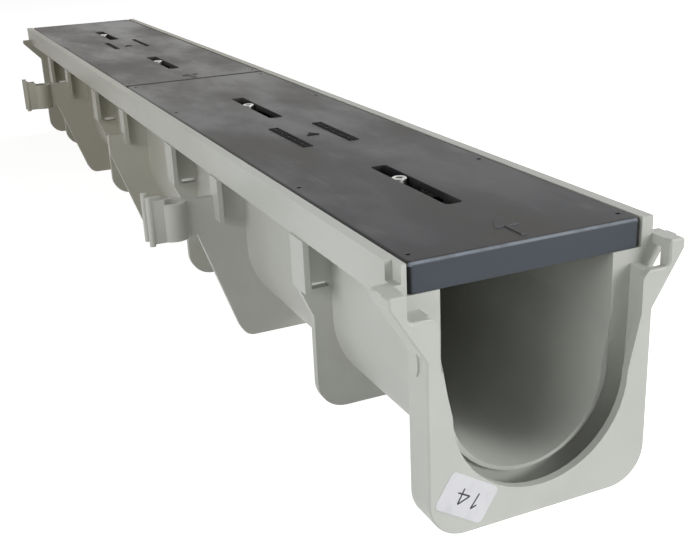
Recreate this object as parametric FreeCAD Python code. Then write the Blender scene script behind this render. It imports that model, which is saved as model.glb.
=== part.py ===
"""Channel drain, 1 m laying length, with two 500 mm covers.

A light grey moulded channel body carries two dark moulded slotted covers in a
rebate between its rims. Each cover is held down by two socket screws. A screw
goes down through a bridge in the cover's slot and a steel cross bar, whose
ends sit in pockets of the channel walls under the cover ledge. A nut under
the bar holds it.

Frame: X runs along the channel, the socket end at +X and the spigot end at -X.
Y runs across it. Z is up, with the base plane of the feet at Z = 0. The origin
is on the base plane, in the middle of the laying length. Millimetres.
"""
import FreeCAD
import Part
import math
import os

V = FreeCAD.Vector

# Overall sizes of the laid channel
laying_length = 1000.0
overall_height = 128.0
rim_outer_half = 66.0

# Covers
cover_count = 2
cover_width = 118.6
cover_height = 14.2
cover_joint_gap = 2.4
cover_end_gap = 0.4
cover_plate = 4.0
cover_skirt = 3.2
cover_end_flange = 4.0
cover_corner_radius = 3.0
cover_edge_radius = 2.0
cover_side_gap = 0.7
cover_rib_thickness = 3.0
cover_rib_offset = 24.0
cover_rib_rise = 4.5
cover_cross_rib_count = 5

# Inlet slots of a cover, with the screw bridge that lies in each of them
slot_length = 85.5
slot_width = 9.5
slot_end_radius = 2.5
first_slot_centre = 107.0
second_slot_centre = 349.5
screw_from_slot_centre = 16.5
bridge_floor_depth = 5.5
bridge_thickness = 4.0
bridge_half_width = 9.0
bridge_near_reach = 7.0

# Raised flow arrow near the socket end of a cover
arrow_from_end = 6.5
arrow_stem_length = 14.0
arrow_stem_width = 2.8
arrow_head_length = 11.0
arrow_head_width = 12.8
arrow_y = 1.4
arrow_rise = 0.5

# Lifting and marking holes of a cover
mark_hole_diameter = 2.6
mark_hole_sides = 10
mark_hole_depth = 2.5
mark_hole_offset = 54.0
mark_hole_first = 10.0
mark_hole_second = 132.0

# Channel wall and flow section
ledge_thickness = 3.5
channel_top_half = 44.5
channel_shoulder_drop = 46.0
channel_radius = 40.5
channel_centre_drop = 69.5
wall_outer_radius = 47.5
wall_centre_drop = 67.0

# Upright flanges along the outer edges of the cross ribs, under the rims
flange_outer_half = 67.0
flange_thickness = 3.0
flange_drop = 45.5

# Cross ribs beside the locks
lock_rib_thickness = 5.0
lock_rib_half = 58.0
lock_rib_bottom_drop = 119.0
lock_rib_corner = 16.0
lock_rib_shoulder_drop = 64.0
lock_rib_from_screw = 13.0
lock_flange_reach = 12.6
rib_slot_inner = 49.0
rib_slot_outer = 58.5
rib_slot_top_drop = 45.2
rib_slot_height = 3.2

# Wide cross ribs that stand on the base plane
foot_rib_pitch = 250.0
foot_rib_thickness = 5.0
foot_rib_wing_half = 79.0
foot_rib_wing_top_drop = 31.0
plain_rib_wing_top_drop = 38.0
foot_rib_wing_low_drop = 53.5
foot_rib_toe_half = 56.5
foot_rib_toe_rise = 8.0
foot_rib_corner = 9.0
foot_flange_reach = 10.0
foot_panel_step = 1.2
foot_panel_drop = 47.0

# Bar clips at the ends of the first and last foot ribs
clip_bar_diameter = 12.0
clip_bar_clearance = 0.1
clip_wall = 2.9
clip_reach = 93.2
clip_top_drop = 30.5
clip_bottom_drop = 54.0
clip_mouth = 8.0
clip_lip_thickness = 2.4
clip_lip_start = 5.5
clip_lip_rise = 3.0
clip_bead_diameter = 3.8
clip_bead_reach = 15.2
clip_bead_rise = 6.0
clip_bead_fall = 1.0

# Socket end
socket_depth = 12.5
front_plate_thickness = 4.0
frame_half = 58.0
frame_corner = 19.0
frame_wall = 3.5
frame_back = 4.5
trough_lip_radius = 43.8
hollow_extra_depth = 3.0
opening_radius = 46.0
opening_centre_drop = 68.0
opening_top_half = 52.0
opening_shoulder_drop = 41.0
frame_top_drop = 21.0
arm_foot_drop = 40.0
arm_outer = 74.5
arm_inner = 66.2
arm_bend_drop = 13.5
arm_top_drop = 8.6
hook_bar_height = 4.6
hook_post_length = 6.5
plate_edge_bevel = 0.8
plate_corner_round = 5.0

# Recess of the -Y rim at the socket end, and the bosses on the frame's sides
rim_recess_length = 8.0
rim_recess_depth = 3.6
boss_length = 6.0
boss_height = 13.0
boss_rise = 1.0
boss_drop = 43.5
boss_from_end = 3.0

# Spigot end
spigot_clearance = 0.5
spigot_length_clearance = 0.5
tail_frame_thickness = 6.0
tail_frame_half = 56.5
tail_frame_corner = 15.0
tail_arm_outer = 75.0
tail_arm_top_drop = 12.7
tail_arm_bend_drop = 16.5
tail_arm_foot_drop = 36.5

# Lock screws, cross bars and nuts
screw_diameter = 5.0
screw_head_diameter = 8.6
screw_head_height = 5.0
screw_length = 25.0
screw_socket_flats = 4.0
screw_socket_depth = 2.6
screw_hole_clearance = 0.25
nut_thread_clearance = 0.05
bar_width = 18.0
bar_thickness = 3.0
bar_half_length = 45.9
bar_end_radius = 4.0
bar_pocket_clearance = 0.4
nut_flats = 8.0
nut_height = 4.0

# Paper label on the socket face
label_length = 27.5
label_width = 18.8
label_thickness = 0.25
label_corner = 2.5
label_y = -39.3
label_drop = 109.7
label_turn = -32.2

# Places worked out from the sizes above
half_length = laying_length / 2.0
ledge_top = overall_height - cover_height
ledge_bottom = ledge_top - ledge_thickness
rebate_half = cover_width / 2.0 + cover_side_gap
flange_bottom = overall_height - flange_drop
flange_inner_half = flange_outer_half - flange_thickness
cover_pitch = laying_length / cover_count
cover_length = cover_pitch - cover_end_gap - cover_joint_gap / 2.0
cover_ends = (half_length - cover_end_gap, -cover_joint_gap / 2.0)
slot_centres = (first_slot_centre, second_slot_centre)
bridge_floor = overall_height - bridge_floor_depth
front_face_x = half_length + socket_depth
front_plate_back_x = front_face_x - front_plate_thickness
tail_frame_near_x = -half_length + socket_depth + tail_frame_thickness
tail_frame_far_x = -half_length + socket_depth


def height(drop):
    """Height above the base plane of a point given by its drop from the top."""
    return overall_height - drop


def screw_places():
    """X of each lock screw, from the socket end to the spigot end."""
    places = []
    for cover_end in cover_ends:
        for centre in slot_centres:
            places.append(cover_end - centre - screw_from_slot_centre)
    return places


def foot_rib_places():
    """X of the middle of each foot rib."""
    count = int(round(laying_length / foot_rib_pitch)) - 1
    return [half_length - (i + 1) * foot_rib_pitch for i in range(count)]


def box(x0, x1, y0, y1, z0, z1):
    return Part.makeBox(x1 - x0, y1 - y0, z1 - z0, V(x0, y0, z0))


def fuse_all(solids):
    first = solids[0]
    if len(solids) == 1:
        return first
    return first.multiFuse(solids[1:]).removeSplitter()


def rounded_wire(points, radii):
    """Closed wire through the points, each corner rounded by its radius."""
    edges = []
    count = len(points)
    starts = []
    ends = []
    middles = []
    for i in range(count):
        corner = points[i]
        radius = radii[i]
        back = points[i - 1].sub(corner)
        ahead = points[(i + 1) % count].sub(corner)
        back.normalize()
        ahead.normalize()
        angle = back.getAngle(ahead)
        if radius <= 0.0:
            starts.append(corner)
            ends.append(corner)
            middles.append(None)
            continue
        trim = radius / math.tan(angle / 2.0)
        bisector = back.add(ahead)
        bisector.normalize()
        centre = corner.add(bisector.multiply(radius / math.sin(angle / 2.0)))
        towards = corner.sub(centre)
        towards.normalize()
        starts.append(corner.add(back.multiply(trim)))
        ends.append(corner.add(ahead.multiply(trim)))
        middles.append(centre.add(towards.multiply(radius)))
    for i in range(count):
        if middles[i] is not None:
            edges.append(Part.Arc(starts[i], middles[i], ends[i]).toShape())
        after = starts[(i + 1) % count]
        if ends[i].sub(after).Length > 1e-6:
            edges.append(Part.LineSegment(ends[i], after).toShape())
    return Part.Wire(edges)


def cross_plate(x0, x1, outline):
    """Plate across the channel from x0 to x1. The outline is a list of
    (y, z, corner radius)."""
    points = [V(x0, y, z) for y, z, _ in outline]
    radii = [radius for _, _, radius in outline]
    face = Part.Face(rounded_wire(points, radii))
    return face.extrude(V(x1 - x0, 0, 0))


def mirrored(half_outline):
    """Full outline from its right half, which is listed from the bottom up."""
    left = [(-y, z, radius) for y, z, radius in reversed(half_outline)]
    return half_outline + left


def flow_solid(x0, x1, top, top_half, shoulder, radius, centre):
    """Solid with a round bottom, sides that lean in below the shoulder, and
    a flat top."""
    corners = [V(x0, radius, centre), V(x0, top_half, shoulder), V(x0, top_half, top),
               V(x0, -top_half, top), V(x0, -top_half, shoulder), V(x0, -radius, centre)]
    edges = []
    for start, end in zip(corners[:-1], corners[1:]):
        if start.sub(end).Length > 1e-6:
            edges.append(Part.LineSegment(start, end).toShape())
    bottom = V(x0, 0, centre - radius)
    edges.append(Part.Arc(corners[-1], bottom, corners[0]).toShape())
    face = Part.Face(Part.Wire(edges))
    return face.extrude(V(x1 - x0, 0, 0))


def channel_inside(x0, x1):
    return flow_solid(x0, x1, overall_height, channel_top_half, height(channel_shoulder_drop),
                      channel_radius, height(channel_centre_drop))


def trough_walls():
    """Outer form of the trough, still filled, with its slimmer spigot."""
    spigot_radius = opening_radius - spigot_clearance
    wall = flow_solid(tail_frame_far_x, half_length, ledge_top, wall_outer_radius,
                      height(wall_centre_drop), wall_outer_radius, height(wall_centre_drop))
    spigot = flow_solid(-half_length, tail_frame_far_x, ledge_top, spigot_radius,
                        height(opening_centre_drop), spigot_radius, height(opening_centre_drop))
    return [wall, spigot]


def rims():
    """Ledge under the covers, with a rim beside them on each side."""
    parts = [box(-half_length, half_length, -rim_outer_half, rim_outer_half, ledge_bottom, ledge_top)]
    for side in (-1, 1):
        inner, outer = sorted((side * rebate_half, side * rim_outer_half))
        parts.append(box(-half_length, half_length, inner, outer, ledge_bottom, overall_height))
    return parts


def rib_flanges(near_x, far_x):
    """Upright flanges on both outer edges of a cross rib."""
    flanges = []
    for side in (-1, 1):
        inner, outer = sorted((side * flange_inner_half, side * flange_outer_half))
        flanges.append(box(far_x, near_x, inner, outer, flange_bottom, ledge_bottom))
    return flanges


def lock_ribs():
    """Plain cross ribs on the socket side of each lock."""
    ribs = []
    half_outline = [
        (lock_rib_half, height(lock_rib_bottom_drop), lock_rib_corner),
        (lock_rib_half, height(lock_rib_shoulder_drop), 0.0),
        (rim_outer_half, flange_bottom, 0.0),
        (rim_outer_half, ledge_top, 0.0),
    ]
    for screw_x in screw_places():
        face_x = screw_x + lock_rib_from_screw
        back_x = face_x - lock_rib_thickness
        ribs.append(cross_plate(back_x, face_x, mirrored(half_outline)))
        ribs += rib_flanges(face_x + lock_flange_reach, back_x)
    return ribs


def lock_rib_slots():
    """Narrow level slots through the lock ribs, beside the trough."""
    slots = []
    top = height(rib_slot_top_drop)
    for screw_x in screw_places():
        face_x = screw_x + lock_rib_from_screw
        for side in (-1, 1):
            inner, outer = sorted((side * rib_slot_inner, side * rib_slot_outer))
            slots.append(box(face_x - lock_rib_thickness - 1.0, face_x + 1.0, inner, outer,
                             top - rib_slot_height, top))
    return slots


def foot_ribs():
    """Wide cross ribs that stand on the base plane. Their wings reach out
    beyond the rims, and carry the bar clips on the outer two ribs."""
    ribs = []
    places = foot_rib_places()
    for rib_x in places:
        carries_clips = rib_x in (places[0], places[-1])
        wing_top = height(foot_rib_wing_top_drop if carries_clips else plain_rib_wing_top_drop)
        half_outline = [
            (foot_rib_toe_half - foot_rib_corner / 2.0, 0.0, foot_rib_corner),
            (foot_rib_toe_half, foot_rib_toe_rise, 0.0),
            (foot_rib_wing_half, height(foot_rib_wing_low_drop), 0.0),
            (foot_rib_wing_half, wing_top, 1.5),
            (flange_inner_half, wing_top, 0.0),
            (flange_inner_half, ledge_top, 0.0),
        ]
        face_x = rib_x + foot_rib_thickness / 2.0
        back_x = rib_x - foot_rib_thickness / 2.0
        ribs.append(cross_plate(back_x, face_x, mirrored(half_outline)))
        ribs.append(box(rib_x, face_x + foot_panel_step, -flange_inner_half, flange_inner_half,
                        height(foot_panel_drop), ledge_top))
        ribs += rib_flanges(face_x + foot_flange_reach, back_x)
    return ribs


def bar_clip(rib_x, side):
    """Split sleeve for a setting bar. Its mouth faces out, between two lips
    that end in round beads."""
    bore = clip_bar_diameter / 2.0 + clip_bar_clearance
    outer = bore + clip_wall
    top = height(clip_top_drop)
    bottom = height(clip_bottom_drop)
    centre_y = side * clip_reach
    bead_y = centre_y + side * clip_bead_reach
    bead_radius = clip_bead_diameter / 2.0
    solids = [Part.makeCylinder(outer, top - bottom, V(rib_x, centre_y, bottom))]
    for lip_side in (-1, 1):
        lip_inner = rib_x + lip_side * clip_mouth / 2.0
        x0, x1 = sorted((lip_inner, lip_inner + lip_side * clip_lip_thickness))
        y0, y1 = sorted((centre_y + side * clip_lip_start, bead_y))
        solids.append(box(x0, x1, y0, y1, bottom, top + clip_lip_rise))
        bead_bottom = bottom - clip_bead_fall
        bead_height = top + clip_bead_rise - bead_bottom
        bead_place = V(lip_inner + lip_side * bead_radius, bead_y, bead_bottom)
        solids.append(Part.makeCylinder(bead_radius, bead_height, bead_place))
    web_y = sorted((side * flange_inner_half, centre_y - side * (bore + clip_wall / 2.0)))
    web_half = foot_rib_thickness / 2.0
    solids.append(box(rib_x - web_half, rib_x + web_half, web_y[0], web_y[1],
                      height(foot_rib_wing_low_drop), height(foot_rib_wing_top_drop)))
    clip = fuse_all(solids)
    hole = Part.makeCylinder(bore, top - bottom + 2.0, V(rib_x, centre_y, bottom - 1.0))
    mouth_y = sorted((centre_y, centre_y + side * (outer + 1.0)))
    mouth = box(rib_x - clip_mouth / 2.0, rib_x + clip_mouth / 2.0, mouth_y[0], mouth_y[1],
                bottom - 1.0, top + 1.0)
    return clip.cut(hole.fuse(mouth))


def bar_clips():
    """Four clips, on the wings of the first and last foot ribs."""
    places = foot_rib_places()
    return [bar_clip(rib_x, side) for rib_x in (places[0], places[-1]) for side in (-1, 1)]


def arm_outline():
    """Right half of the outline of the socket plates, up to the arm's top."""
    return [
        (frame_half, 0.0, frame_corner),
        (frame_half, height(arm_foot_drop), 3.0),
        (arm_outer, height(arm_bend_drop), 2.0),
        (arm_outer, height(arm_top_drop), 1.5),
    ]


def plate_outline():
    """Outline of the front plate, with an upright arm on each side."""
    return mirrored(arm_outline() + [
        (arm_inner, height(arm_top_drop), 1.5),
        (arm_inner, height(frame_top_drop), 2.5),
    ])


def front_plate():
    """Plate with the socket opening and an upright arm on each side."""
    plate = cross_plate(front_plate_back_x, front_face_x, plate_outline())
    front_edges = [edge for edge in plate.Edges
                   if abs(edge.BoundBox.XMin - front_face_x) < 1e-6
                   and edge.BoundBox.XLength < 1e-6]
    plate = plate.makeChamfer(plate_edge_bevel, front_edges)
    opening = flow_solid(half_length, front_face_x + 1.0, overall_height, opening_top_half,
                         height(opening_shoulder_drop), opening_radius, height(opening_centre_drop))
    plate = plate.cut(opening)
    for side in (-1, 1):
        round_y = side * (opening_top_half + plate_corner_round)
        round_z = height(frame_top_drop) - plate_corner_round
        y0, y1 = sorted((side * opening_top_half, round_y))
        corner = box(half_length, front_face_x + 1.0, y0, y1, round_z, overall_height)
        corner = corner.cut(Part.makeCylinder(plate_corner_round, socket_depth + 1.0,
                                              V(half_length, round_y, round_z), V(1, 0, 0)))
        plate = plate.cut(corner)
    return plate


def socket_frame():
    """Deep frame at the socket end: an end wall up to the ledge with an ear on
    each side, side walls round a hollow, and the front plate."""
    wall_outline = mirrored(arm_outline() + [(rebate_half, height(arm_top_drop), 0.0),
                                             (rebate_half, ledge_bottom, 0.0)])
    end_wall = cross_plate(half_length - frame_back, half_length, wall_outline)
    ring_outline = mirrored([
        (frame_half, 0.0, frame_corner),
        (frame_half, height(frame_top_drop), 0.0),
    ])
    ring = cross_plate(half_length, front_plate_back_x, ring_outline)
    hollow = cross_plate(half_length, front_plate_back_x, hollow_outline())
    return [end_wall, ring.cut(hollow), front_plate()]


def hollow_outline():
    return mirrored([
        (frame_half - frame_wall, frame_wall, frame_corner - frame_wall),
        (frame_half - frame_wall, overall_height, 0.0),
    ])


def lip_groove():
    """Deepens the hollow round the trough's lip, from nothing at the narrowing
    of the opening to its full depth at the foot."""
    deep_x = half_length - hollow_extra_depth
    band = cross_plate(deep_x, half_length, hollow_outline())
    lip_centre = height(opening_centre_drop)
    lip = flow_solid(deep_x - 1.0, half_length + 1.0, overall_height, trough_lip_radius,
                     lip_centre, trough_lip_radius, lip_centre)
    start = height(opening_shoulder_drop)
    wide = frame_half
    points = [V(half_length, -wide, start), V(deep_x, -wide, frame_wall), V(deep_x, -wide, 0.0),
              V(half_length, -wide, 0.0), V(half_length, -wide, start)]
    wedge = Part.Face(Part.makePolygon(points)).extrude(V(0, 2.0 * wide, 0))
    return band.common(wedge).cut(lip)


def closed_arm():
    """Web that closes the -Y arm between the end wall and the front plate."""
    web = cross_plate(half_length, front_plate_back_x, plate_outline())
    return web.common(box(half_length, front_plate_back_x, -arm_outer, -frame_half + 1.0,
                          0.0, overall_height))


def side_pieces(side):
    """Hook bar, post and boss on one side of the socket frame."""
    inner, outer = sorted((side * arm_inner, side * arm_outer))
    top = height(arm_top_drop)
    post_far_x = front_face_x - hook_post_length
    arm_plate = cross_plate(post_far_x, front_plate_back_x, mirrored(arm_outline()))
    post = arm_plate.common(box(post_far_x, front_plate_back_x, inner, outer, 0.0, top))
    bar = box(half_length, post_far_x, inner, outer, top - hook_bar_height, top)
    root = 0.5
    boss = Part.makeCylinder(boss_length / 2.0, boss_rise + root, V(0, 0, 0), V(0, side, 0))
    stretch = FreeCAD.Matrix()
    stretch.scale(1.0, 1.0, boss_height / boss_length)
    boss = boss.transformGeometry(stretch)
    boss.translate(V(half_length + boss_from_end, side * (frame_half - root), height(boss_drop)))
    return [post, bar, boss]


def tail_frame():
    """Thin frame behind the spigot, with an arm on each side that meets the
    next channel's socket arms."""
    half_outline = [
        (tail_frame_half, 0.0, tail_frame_corner),
        (tail_frame_half, height(tail_arm_foot_drop), 3.0),
        (tail_arm_outer, height(tail_arm_bend_drop), 1.0),
        (tail_arm_outer, height(tail_arm_top_drop), 1.0),
        (rebate_half, height(tail_arm_top_drop), 0.0),
        (rebate_half, ledge_bottom, 0.0),
    ]
    return [cross_plate(tail_frame_far_x, tail_frame_near_x, mirrored(half_outline))]


def bar_pockets():
    """Shallow pockets in the upper channel walls for the ends of the bars."""
    pockets = []
    half = bar_width / 2.0 + bar_pocket_clearance
    reach = bar_half_length + bar_pocket_clearance
    for screw_x in screw_places():
        pockets.append(box(screw_x - half, screw_x + half, -reach, reach,
                           ledge_bottom - bar_thickness - bar_pocket_clearance, ledge_bottom))
    return pockets


def rim_recess():
    """Step in the outer face of the -Y rim at the socket end."""
    return box(half_length - rim_recess_length, half_length + 1.0, -rim_outer_half - 1.0,
               -rim_outer_half + rim_recess_depth, height(arm_top_drop), overall_height + 1.0)


def channel_body():
    solids = trough_walls() + rims() + lock_ribs() + foot_ribs() + bar_clips()
    solids += socket_frame() + [closed_arm()] + side_pieces(-1) + side_pieces(1) + tail_frame()
    body = fuse_all(solids)
    tools = [channel_inside(-half_length - 1.0, half_length), lip_groove(), rim_recess()]
    tools += lock_rib_slots() + bar_pockets()
    return body.cut(tools).removeSplitter()


def even_prism(sides, radius, depth, place):
    """Upright prism with equal sides, its corners at the given radius."""
    turns = [2.0 * math.pi * i / sides for i in range(sides + 1)]
    points = [V(place.x + radius * math.cos(turn), place.y + radius * math.sin(turn), place.z)
              for turn in turns]
    return Part.Face(Part.makePolygon(points)).extrude(V(0, 0, depth))


def hex_prism(flats, depth, place):
    """Upright hexagonal prism, flats apart by the given size."""
    return even_prism(6, flats / math.sqrt(3.0), depth, place)


def slot_tool(x0, x1, z0, z1):
    """Slot with rounded corners along the middle of a cover."""
    half = slot_width / 2.0
    points = [V(x0, -half, z0), V(x1, -half, z0), V(x1, half, z0), V(x0, half, z0)]
    wire = rounded_wire(points, [slot_end_radius] * 4)
    return Part.Face(wire).extrude(V(0, 0, z1 - z0))


def flow_arrow(near_x):
    """Raised arrow that points along the flow, away from the socket end."""
    stem_near = near_x - arrow_from_end
    neck = stem_near - arrow_stem_length
    tip = neck - arrow_head_length
    root = 0.5
    half_stem = arrow_stem_width / 2.0
    half_head = arrow_head_width / 2.0
    outline = [(tip, 0.0), (neck, -half_head), (neck, -half_stem), (stem_near, -half_stem),
               (stem_near, half_stem), (neck, half_stem), (neck, half_head), (tip, 0.0)]
    points = [V(x, arrow_y + y, overall_height - root) for x, y in outline]
    return Part.Face(Part.makePolygon(points)).extrude(V(0, 0, root + arrow_rise))


def cover(near_x):
    """One cover, its socket end at near_x. It is open below, with ribs."""
    far_x = near_x - cover_length
    half = cover_width / 2.0
    shell = box(far_x, near_x, -half, half, ledge_top, overall_height)
    uprights = [edge for edge in shell.Edges if edge.BoundBox.ZLength > cover_height - 1.0]
    shell = shell.makeFillet(cover_corner_radius, uprights)
    rim = [edge for edge in shell.Edges if abs(edge.BoundBox.ZMin - overall_height) < 1e-6]
    shell = shell.makeFillet(cover_edge_radius, rim)
    plate_bottom = overall_height - cover_plate
    hollow = box(far_x + cover_end_flange, near_x - cover_end_flange, -half + cover_skirt,
                 half - cover_skirt, ledge_top - 1.0, plate_bottom)
    shell = shell.cut(hollow)
    rib_bottom = ledge_top + cover_rib_rise
    adds = [flow_arrow(near_x)]
    for side in (-1, 1):
        y = side * cover_rib_offset
        adds.append(box(far_x + 1.0, near_x - 1.0, y - cover_rib_thickness / 2.0,
                        y + cover_rib_thickness / 2.0, rib_bottom, plate_bottom + 1.0))
    step = cover_length / (cover_cross_rib_count + 1)
    for i in range(cover_cross_rib_count):
        x = near_x - (i + 1) * step
        adds.append(box(x - cover_rib_thickness / 2.0, x + cover_rib_thickness / 2.0, -half + 1.0,
                        half - 1.0, rib_bottom, plate_bottom + 1.0))
    tools = []
    for centre in slot_centres:
        slot_x = near_x - centre
        screw_x = slot_x - screw_from_slot_centre
        slot_far = slot_x - slot_length / 2.0
        slot_near = slot_x + slot_length / 2.0
        bridge_end = screw_x + bridge_near_reach
        adds.append(box(slot_far - 3.0, bridge_end, -bridge_half_width, bridge_half_width,
                        bridge_floor - bridge_thickness, plate_bottom + 1.0))
        tools.append(slot_tool(slot_far, slot_near, bridge_floor, overall_height + 1.0))
        tools.append(slot_tool(bridge_end, slot_near, ledge_top - 1.0, overall_height + 1.0))
        hole_radius = screw_diameter / 2.0 + screw_hole_clearance
        tools.append(Part.makeCylinder(hole_radius, cover_height + 2.0, V(screw_x, 0, ledge_top - 1.0)))
    for along in (mark_hole_first, mark_hole_second):
        for x in (near_x - along, far_x + along):
            for side in (-1, 1):
                place = V(x, side * mark_hole_offset, overall_height - mark_hole_depth)
                tools.append(even_prism(mark_hole_sides, mark_hole_diameter / 2.0,
                                        mark_hole_depth + 1.0, place))
    return fuse_all([shell] + adds).cut(tools).removeSplitter()


def lock_screw(x):
    head = Part.makeCylinder(screw_head_diameter / 2.0, screw_head_height, V(x, 0, bridge_floor))
    top = bridge_floor + screw_head_height
    socket = hex_prism(screw_socket_flats, screw_socket_depth + 1.0, V(x, 0, top - screw_socket_depth))
    shank = Part.makeCylinder(screw_diameter / 2.0, screw_length, V(x, 0, bridge_floor - screw_length))
    return head.fuse(shank).removeSplitter().cut(socket)


def lock_bar(x):
    half_width = bar_width / 2.0
    z = ledge_bottom - bar_thickness
    points = [V(x - half_width, -bar_half_length, z), V(x + half_width, -bar_half_length, z),
              V(x + half_width, bar_half_length, z), V(x - half_width, bar_half_length, z)]
    bar = Part.Face(rounded_wire(points, [bar_end_radius] * 4)).extrude(V(0, 0, bar_thickness))
    hole = Part.makeCylinder(screw_diameter / 2.0 + screw_hole_clearance, bar_thickness + 2.0,
                             V(x, 0, z - 1.0))
    return bar.cut(hole)


def lock_nut(x):
    z = ledge_bottom - bar_thickness - nut_height
    nut = hex_prism(nut_flats, nut_height, V(x, 0, z))
    hole = Part.makeCylinder(screw_diameter / 2.0 + nut_thread_clearance, nut_height + 2.0,
                             V(x, 0, z - 1.0))
    return nut.cut(hole)


def paper_label():
    """Rounded paper label, turned as it was stuck on."""
    half_l = label_length / 2.0
    half_w = label_width / 2.0
    points = [V(0, -half_l, -half_w), V(0, half_l, -half_w), V(0, half_l, half_w), V(0, -half_l, half_w)]
    label = Part.Face(rounded_wire(points, [label_corner] * 4)).extrude(V(label_thickness, 0, 0))
    label.rotate(V(0, 0, 0), V(1, 0, 0), label_turn)
    label.translate(V(front_face_x, label_y, height(label_drop)))
    return label


def save(name, shape):
    shape.exportStep(os.path.join("parts", name + ".step"))


def main():
    os.makedirs("parts", exist_ok=True)
    save("channel_body", channel_body())
    for name, cover_end in zip(("cover_near", "cover_far"), cover_ends):
        save(name, cover(cover_end))
    for i, x in enumerate(screw_places()):
        number = str(i + 1)
        save("lock_screw_" + number, lock_screw(x))
        save("lock_bar_" + number, lock_bar(x))
        save("lock_nut_" + number, lock_nut(x))
    save("paper_label", paper_label())


main()
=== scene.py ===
"""Looks of the channel drain: softened mouldings, covers with their raised marks,
socket screws, lock bars and nuts, the stuck-on label, and the studio around them."""

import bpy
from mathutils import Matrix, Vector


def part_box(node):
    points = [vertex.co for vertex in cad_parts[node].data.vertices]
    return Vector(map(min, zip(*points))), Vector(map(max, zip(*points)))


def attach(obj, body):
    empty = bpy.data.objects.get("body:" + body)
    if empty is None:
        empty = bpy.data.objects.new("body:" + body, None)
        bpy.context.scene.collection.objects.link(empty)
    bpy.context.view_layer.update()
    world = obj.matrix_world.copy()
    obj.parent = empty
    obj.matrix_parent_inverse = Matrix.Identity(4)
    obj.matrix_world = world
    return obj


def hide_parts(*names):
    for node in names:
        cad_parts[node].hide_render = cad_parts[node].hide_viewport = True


bl_info = {
    "name": "Channel drain looks",
    "version": (1, 0, 0),
    "blender": (4, 5, 0),
    "location": "3D View > Sidebar > Channel drain",
    "description": "Dresses the packed channel drain with its surface finishes and small details",
    "category": "Object",
}

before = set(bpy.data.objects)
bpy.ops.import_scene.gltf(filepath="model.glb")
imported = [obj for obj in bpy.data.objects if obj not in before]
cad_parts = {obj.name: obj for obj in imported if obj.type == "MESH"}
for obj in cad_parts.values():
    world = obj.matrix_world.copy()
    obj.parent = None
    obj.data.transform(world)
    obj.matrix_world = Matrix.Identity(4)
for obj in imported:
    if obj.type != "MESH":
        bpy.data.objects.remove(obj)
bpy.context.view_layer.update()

import math

import bmesh
import bpy
import numpy as np
from mathutils import Matrix, Vector

BODY = "root"
TAU = 2.0 * math.pi

# Points of a solid closer than this are one point, and its triangles that meet
# at less than the flat angle are one face. Edges above the edge angle are rounded.
SAME_POINT = 2e-6
FLAT_ANGLE = math.radians(0.6)
EDGE_ANGLE = math.radians(28.0)
EDGE_SEGMENTS = 2

# Points of a turned or drawn surface that close at an axis or an end
TIP_POINT = 1e-7

# Raised marks go this far down into the cover, and their top edges are bevelled.
MARK_SINK = 0.0001
MARK_BEVEL = 0.00012

# Fields of grip studs on each cover: from and to along the channel, then across it
STUD_FIELDS = {
    "cover_near": ((0.225, 0.286, -0.018, -0.0115), (0.225, 0.286, 0.0125, 0.019)),
    "cover_far": ((-0.283, -0.230, -0.0165, -0.012), (-0.293, -0.230, 0.0155, 0.019)),
}

# Thickness of a pen stroke, half of it above the paper
INK_THICKNESS = 0.00012

COVERS = ("cover_near", "cover_far")
SCREWS = ("lock_screw_1", "lock_screw_2", "lock_screw_3", "lock_screw_4")
BARS = ("lock_bar_1", "lock_bar_2", "lock_bar_3", "lock_bar_4")
NUTS = ("lock_nut_1", "lock_nut_2", "lock_nut_3", "lock_nut_4")


# Mesh makers

def mesh_object(name, points, faces, smooth_angle=math.radians(40.0)):
    """Object at the origin from an array of points in metres and its faces."""
    mesh = bpy.data.meshes.new(name)
    mesh.from_pydata([tuple(p) for p in np.asarray(points, float).tolist()], [],
                     [tuple(f) for f in faces])
    mesh.validate()
    mesh.update()
    obj = bpy.data.objects.new(name, mesh)
    bpy.context.scene.collection.objects.link(obj)
    smooth(mesh, smooth_angle)
    return obj


def smooth(mesh, angle):
    """Smooth shading, with sharp edges where faces meet at more than the angle."""
    mesh.polygons.foreach_set("use_smooth", np.ones(len(mesh.polygons), dtype=bool))
    mesh.set_sharp_from_angle(angle=angle)


def ring_faces(rings, around):
    """Quads of a grid that is closed around: each joins a point to the next one
    on its ring and to the two above them."""
    row, col = np.meshgrid(np.arange(rings - 1), np.arange(around), indexing="ij")
    after = (col + 1) % around
    low = row * around
    high = low + around
    return np.stack([low + col, low + after, high + after, high + col], axis=-1).reshape(-1, 4)


def stacked_rings(radii, heights, centre):
    """Points of a closed surface about an upright axis. Each row of radii is one
    ring: x = radius cos(angle), y = radius sin(angle), z = its height."""
    radii = np.asarray(radii, float)
    heights = np.asarray(heights, float)
    angle = np.linspace(0.0, TAU, radii.shape[1], endpoint=False)
    x = centre[0] + radii * np.cos(angle)
    y = centre[1] + radii * np.sin(angle)
    z = centre[2] + np.broadcast_to(heights.reshape(len(radii), -1), radii.shape)
    return np.stack([x, y, z], axis=-1).reshape(-1, 3)


def hexagon(flats, angle):
    """Distance from the centre to the side of a hexagon, at each angle: half the
    flats' distance over the cosine of the angle from the nearest flat's middle."""
    turn = np.mod(angle, TAU / 6.0) - TAU / 12.0
    return 0.5 * flats / np.cos(turn)


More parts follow.
